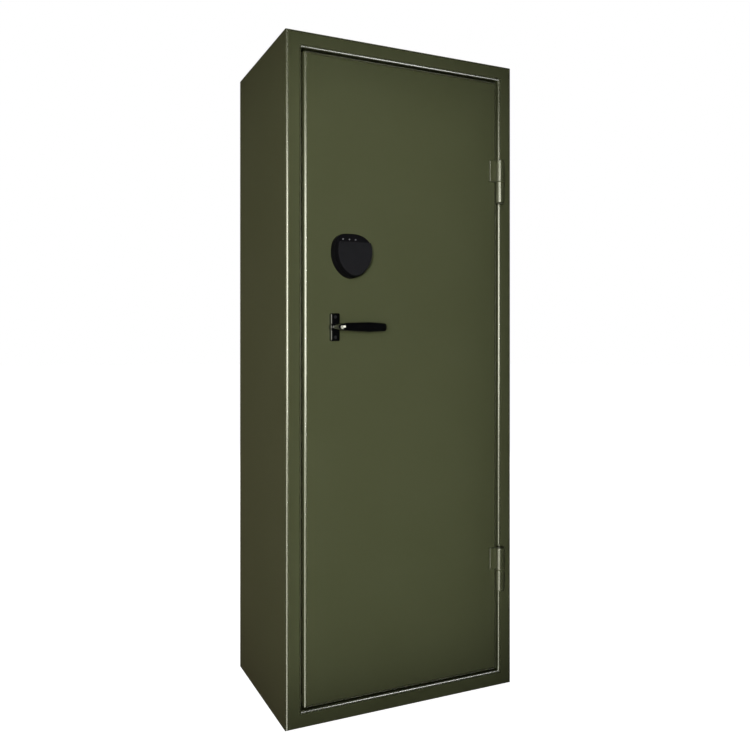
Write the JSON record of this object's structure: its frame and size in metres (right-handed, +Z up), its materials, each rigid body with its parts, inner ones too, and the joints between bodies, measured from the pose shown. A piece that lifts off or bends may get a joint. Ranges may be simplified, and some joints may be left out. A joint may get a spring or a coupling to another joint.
{
  "type": "gun safe",
  "caption": "Upright steel gun safe with a flush hinged door, keypad under a flap, lever handle that throws round bolts, barrel rest, shelf and anchor holes.",
  "frame": {"origin": "middle of the cabinet's underside", "axes": "+X towards the hinges, to the right as seen from the front; +Y from the door to the back; +Z up"},
  "size_m": [0.555, 0.4128, 1.45],
  "materials": {
    "olive_paint": "fine satin powder coat",
    "zinc_steel": "zinc plated",
    "bare_steel": "plain",
    "brass": "turned",
    "lock_alloy": "die cast",
    "black_plastic": "satin",
    "black_lever": "gloss black paint",
    "black_steel": "blackened",
    "black_rubber": "matt",
    "board_green": "solder mask",
    "cell_wrap": "printed film",
    "light_lens": "clear grey",
    "grey_keys": "soft touch"
  },
  "bodies": {
    "cabinet": {"left_wall": "olive_paint", "right_wall": "olive_paint", "roof_panel": "olive_paint", "floor_panel": "olive_paint", "back_panel": "olive_paint", "door_frame": "olive_paint", "upper_shelf": "olive_paint", "shelf_brackets": "olive_paint", "rack_bracket": "olive_paint", "barrel_rest": "black_rubber", "floor_mat": "black_rubber", "frame_knuckles": "olive_paint", "hinge_pins": "bare_steel", "hinge_washers": "brass"},
    "door": {"door_skin": "olive_paint", "door_stiffener": "olive_paint", "door_knuckles": "olive_paint", "hinge_side_dogs": "zinc_steel", "side_bolt_guides": "zinc_steel", "rod_guides": "zinc_steel", "hard_plate": "bare_steel", "lock_case": "lock_alloy", "lock_lid": "lock_alloy", "lock_drive": "black_plastic", "lock_screws": "bare_steel", "cover_posts": "zinc_steel", "mechanism_cover": "olive_paint", "cover_screws": "zinc_steel", "spindle_bush": "brass", "handle_rose": "black_lever", "face_screws": "black_steel", "keypad_base": "black_plastic", "keypad_housing": "black_plastic", "keypad_board": "board_green", "keypad_batteries": "cell_wrap", "indicator_lights": "light_lens", "keypad_cable": "black_plastic", "flap_pin": "bare_steel"},
    "handle": {"handle_lever": "black_lever", "handle_spindle": "bare_steel", "cam_disc": "zinc_steel", "spindle_clip": "bare_steel"},
    "carriage": {"bolt_carriage": "zinc_steel", "side_bolts": "zinc_steel"},
    "upper_rod": {"top_rod": "zinc_steel"},
    "lower_rod": {"bottom_rod": "zinc_steel"},
    "latch": {"lock_bolt": "bare_steel"},
    "flap": {"keypad_flap": "black_plastic"},
    "key_1_body": {"key_1": "grey_keys"},
    "key_2_body": {"key_2": "grey_keys"},
    "key_3_body": {"key_3": "grey_keys"},
    "key_4_body": {"key_4": "grey_keys"},
    "key_5_body": {"key_5": "grey_keys"},
    "key_6_body": {"key_6": "grey_keys"},
    "key_7_body": {"key_7": "grey_keys"},
    "key_8_body": {"key_8": "grey_keys"},
    "key_9_body": {"key_9": "grey_keys"},
    "key_clear_body": {"key_clear": "grey_keys"},
    "key_0_body": {"key_0": "grey_keys"},
    "key_enter_body": {"key_enter": "grey_keys"}
  },
  "joints": [
    {"name": "door_hinge", "type": "hinge", "parent": "cabinet", "child": "door", "pos_m": [0.24025, -0.191, 0.725], "axis": [0, 0, 1], "range_deg": [0, 180]},
    {"name": "handle_turn", "type": "hinge", "parent": "door", "child": "handle", "pos_m": [-0.1715, -0.18, 0.834], "axis": [0, 1, 0], "range_deg": [0, 90]},
    {"name": "carriage_slide", "type": "slide", "parent": "door", "child": "carriage", "axis": [-1, 0, 0], "range_m": [0, 0.022]},
    {"name": "upper_rod_slide", "type": "slide", "parent": "door", "child": "upper_rod", "axis": [0, 0, 1], "range_m": [0, 0.022]},
    {"name": "lower_rod_slide", "type": "slide", "parent": "door", "child": "lower_rod", "axis": [0, 0, -1], "range_m": [0, 0.022]},
    {"name": "latch_slide", "type": "slide", "parent": "door", "child": "latch", "axis": [-1, 0, 0], "range_m": [0, 0.013]},
    {"name": "flap_hinge", "type": "hinge", "parent": "door", "child": "flap", "pos_m": [-0.1355, -0.205, 1.0083], "axis": [-1, 0, 0], "range_deg": [0, 95]},
    {"name": "key_1_press", "type": "slide", "parent": "door", "child": "key_1_body", "axis": [0, 1, 0], "range_m": [0, 0.0014], "stiffness_N_per_m": 300},
    {"name": "key_2_press", "type": "slide", "parent": "door", "child": "key_2_body", "axis": [0, 1, 0], "range_m": [0, 0.0014], "stiffness_N_per_m": 300},
    {"name": "key_3_press", "type": "slide", "parent": "door", "child": "key_3_body", "axis": [0, 1, 0], "range_m": [0, 0.0014], "stiffness_N_per_m": 300},
    {"name": "key_4_press", "type": "slide", "parent": "door", "child": "key_4_body", "axis": [0, 1, 0], "range_m": [0, 0.0014], "stiffness_N_per_m": 300},
    {"name": "key_5_press", "type": "slide", "parent": "door", "child": "key_5_body", "axis": [0, 1, 0], "range_m": [0, 0.0014], "stiffness_N_per_m": 300},
    {"name": "key_6_press", "type": "slide", "parent": "door", "child": "key_6_body", "axis": [0, 1, 0], "range_m": [0, 0.0014], "stiffness_N_per_m": 300},
    {"name": "key_7_press", "type": "slide", "parent": "door", "child": "key_7_body", "axis": [0, 1, 0], "range_m": [0, 0.0014], "stiffness_N_per_m": 300},
    {"name": "key_8_press", "type": "slide", "parent": "door", "child": "key_8_body", "axis": [0, 1, 0], "range_m": [0, 0.0014], "stiffness_N_per_m": 300},
    {"name": "key_9_press", "type": "slide", "parent": "door", "child": "key_9_body", "axis": [0, 1, 0], "range_m": [0, 0.0014], "stiffness_N_per_m": 300},
    {"name": "key_clear_press", "type": "slide", "parent": "door", "child": "key_clear_body", "axis": [0, 1, 0], "range_m": [0, 0.0014], "stiffness_N_per_m": 300},
    {"name": "key_0_press", "type": "slide", "parent": "door", "child": "key_0_body", "axis": [0, 1, 0], "range_m": [0, 0.0014], "stiffness_N_per_m": 300},
    {"name": "key_enter_press", "type": "slide", "parent": "door", "child": "key_enter_body", "axis": [0, 1, 0], "range_m": [0, 0.0014], "stiffness_N_per_m": 300}
  ],
  "couplings": [
    {"joint": "carriage_slide", "follows": "handle_turn", "m_per_rad": 0.014},
    {"joint": "upper_rod_slide", "follows": "handle_turn", "m_per_rad": 0.014},
    {"joint": "lower_rod_slide", "follows": "handle_turn", "m_per_rad": 0.014}
  ]
}
